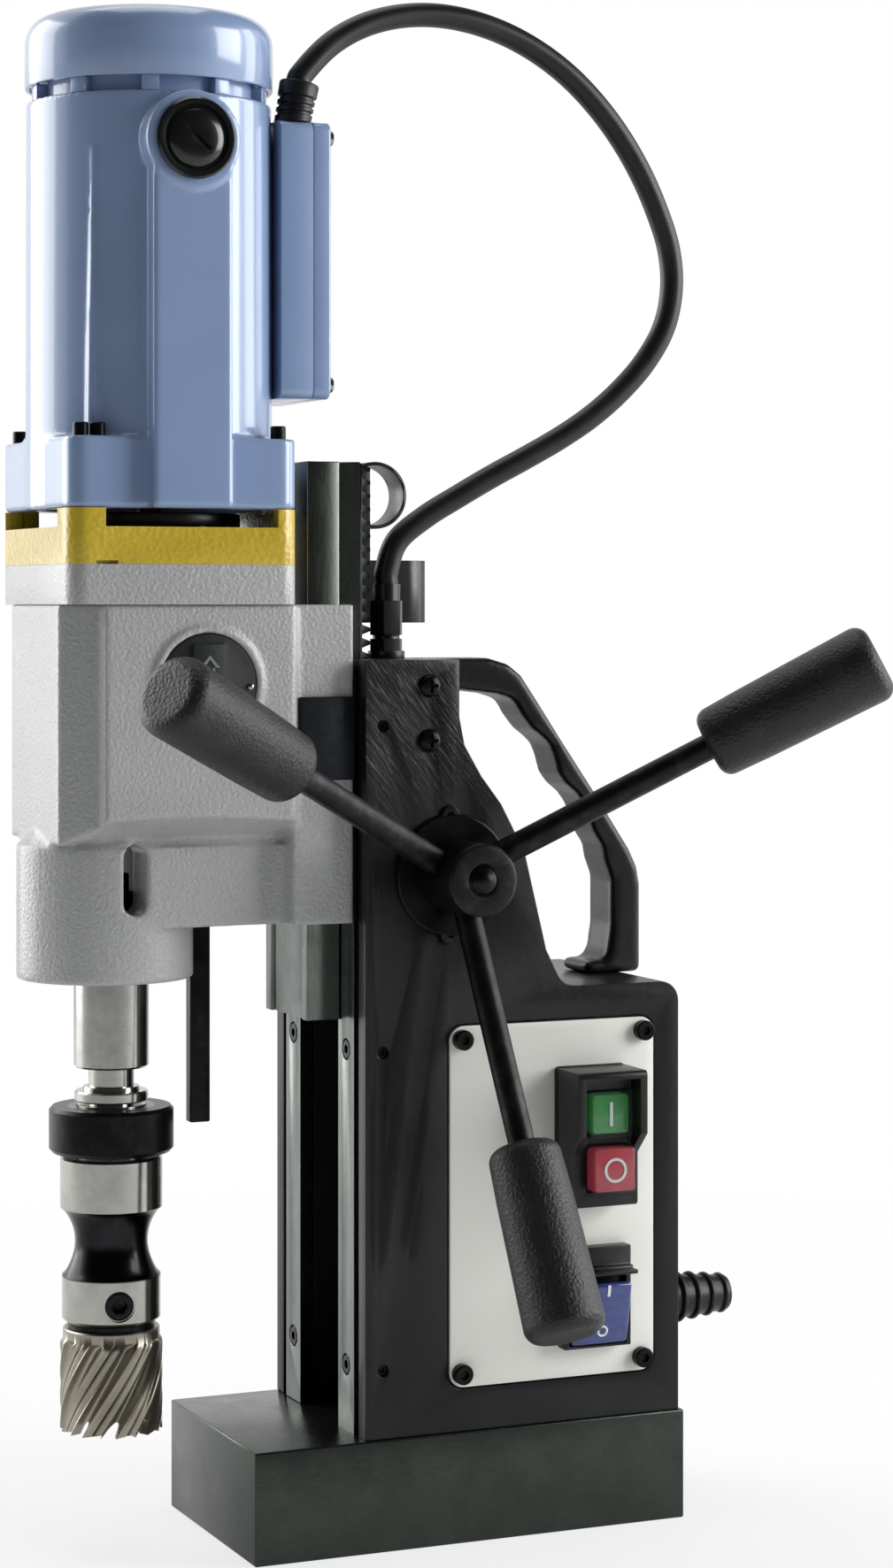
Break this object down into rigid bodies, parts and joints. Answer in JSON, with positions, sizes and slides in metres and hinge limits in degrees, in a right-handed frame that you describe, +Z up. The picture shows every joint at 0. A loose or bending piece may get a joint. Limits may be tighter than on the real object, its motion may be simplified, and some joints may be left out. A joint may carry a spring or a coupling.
{
  "type": "magnetic core drill",
  "caption": "Magnetic base drill: a motor and gearbox slide on an upright casting, driven by a three-spoke feed handle, with an annular cutter in a turned arbor.",
  "frame": {"origin": "centre of the magnet's underside", "axes": "+Z up along the spindle, -X towards the spindle, -Y towards the control panel and the feed handles"},
  "size_m": [0.3197, 0.2255, 0.6288],
  "materials": {
    "cast_paint": "satin black paint over cast metal",
    "magnet_steel": "ground and blued",
    "grey_paint": "light grey hammered paint",
    "blue_paint": "gloss light blue paint",
    "yellow_paint": "yellow hammered paint",
    "ground_steel": "ground",
    "bright_steel": "turned and polished",
    "dark_steel": "blued",
    "cutter_steel": "dull silver",
    "rubber": "grained",
    "black_plastic": "satin",
    "panel_paint": "satin cream",
    "green": "clear-edged",
    "red": "clear-edged",
    "blue": "clear-edged",
    "copper": "dull",
    "laminate": "dull",
    "circuit": "satin"
  },
  "bodies": {
    "frame": {"magnet_body": "magnet_steel", "magnet_coil": "copper", "frame_casting": "cast_paint", "carry_handle": "cast_paint", "handle_screw_upper": "dark_steel", "handle_screw_lower": "dark_steel", "control_panel": "panel_paint", "motor_switch_housing": "black_plastic", "magnet_switch_bezel": "black_plastic", "rail_near": "ground_steel", "rail_far": "ground_steel", "cord_boot": "rubber", "cable_gland": "black_plastic", "gland_nut": "black_plastic", "feed_flange": "dark_steel", "shaft_bush": "copper", "circuit_board": "circuit"},
    "start_button": {"start_button": "green"},
    "stop_button": {"stop_button": "red"},
    "magnet_rocker": {"magnet_rocker": "blue"},
    "feed_wheel": {"feed_shaft": "ground_steel", "feed_hub": "dark_steel", "hub_cap": "bright_steel", "feed_rod_1": "dark_steel", "feed_rod_2": "dark_steel", "feed_rod_3": "dark_steel", "feed_grip_1": "rubber", "feed_grip_2": "rubber", "feed_grip_3": "rubber"},
    "carriage": {"slide_bar": "ground_steel", "rack": "ground_steel", "gearbox_housing": "grey_paint", "gearbox_lid": "grey_paint", "fan_ring": "yellow_paint", "motor_housing": "blue_paint", "motor_cap": "black_plastic", "brush_cap_near": "black_plastic", "brush_cap_far": "black_plastic", "stator": "laminate", "terminal_box": "blue_paint", "terminal_cover": "blue_paint", "cable_relief": "rubber", "motor_cable": "rubber", "lower_bearing": "bright_steel", "upper_bearing": "bright_steel", "side_plate": "dark_steel", "torque_bar": "ground_steel", "hose_bracket": "ground_steel"},
    "selector": {"selector_knob": "black_plastic"},
    "armature": {"armature": "laminate", "cooling_fan": "black_plastic"},
    "idler": {"idler_gear": "ground_steel"},
    "spindle": {"spindle": "bright_steel", "spindle_gear": "ground_steel", "arbor": "bright_steel", "cutter": "cutter_steel", "pilot_pin": "ground_steel", "set_screw": "dark_steel"},
    "coolant_ring": {"coolant_ring": "dark_steel"}
  },
  "joints": [
    {"name": "carriage", "type": "slide", "parent": "frame", "child": "carriage", "axis": [0, 0, 1], "range_m": [-0.15, 0.04], "deforming": ["motor_cable"]},
    {"name": "feed_wheel", "type": "hinge", "parent": "frame", "child": "feed_wheel", "pos_m": [-0.0101, 0, 0.2706], "axis": [0, 1, 0], "range_deg": [-412, 112]},
    {"name": "spindle", "type": "hinge", "parent": "carriage", "child": "spindle", "pos_m": [-0.1378, 0, 0.2], "axis": [0, 0, 1], "continuous": true},
    {"name": "idler", "type": "hinge", "parent": "carriage", "child": "idler", "pos_m": [-0.11546, 0.02002, 0.33], "axis": [0, 0, 1], "continuous": true},
    {"name": "armature", "type": "hinge", "parent": "carriage", "child": "armature", "pos_m": [-0.1218, 0, 0.45], "axis": [0, 0, 1], "continuous": true},
    {"name": "coolant_ring", "type": "hinge", "parent": "carriage", "child": "coolant_ring", "pos_m": [-0.1378, 0, 0.17], "axis": [0, 0, 1], "continuous": true},
    {"name": "selector", "type": "hinge", "parent": "carriage", "child": "selector", "pos_m": [-0.1128, -0.045, 0.3484], "axis": [0, 1, 0], "range_deg": [0, 180]},
    {"name": "start_button", "type": "slide", "parent": "frame", "child": "start_button", "axis": [0, 1, 0], "range_m": [0, 0.003], "stiffness_N_per_m": 400, "springref_m": -0.002},
    {"name": "stop_button", "type": "slide", "parent": "frame", "child": "stop_button", "axis": [0, 1, 0], "range_m": [0, 0.003], "stiffness_N_per_m": 400, "springref_m": -0.002},
    {"name": "magnet_rocker", "type": "hinge", "parent": "frame", "child": "magnet_rocker", "pos_m": [0.0522, -0.0566, 0.09065], "axis": [1, 0, 0], "range_deg": [-24, 0]}
  ],
  "couplings": [
    {"joint": "feed_wheel", "follows": "carriage", "rad_per_m": 47.619},
    {"joint": "idler", "follows": "spindle", "ratio": -3},
    {"joint": "armature", "follows": "spindle", "ratio": 9.6}
  ]
}
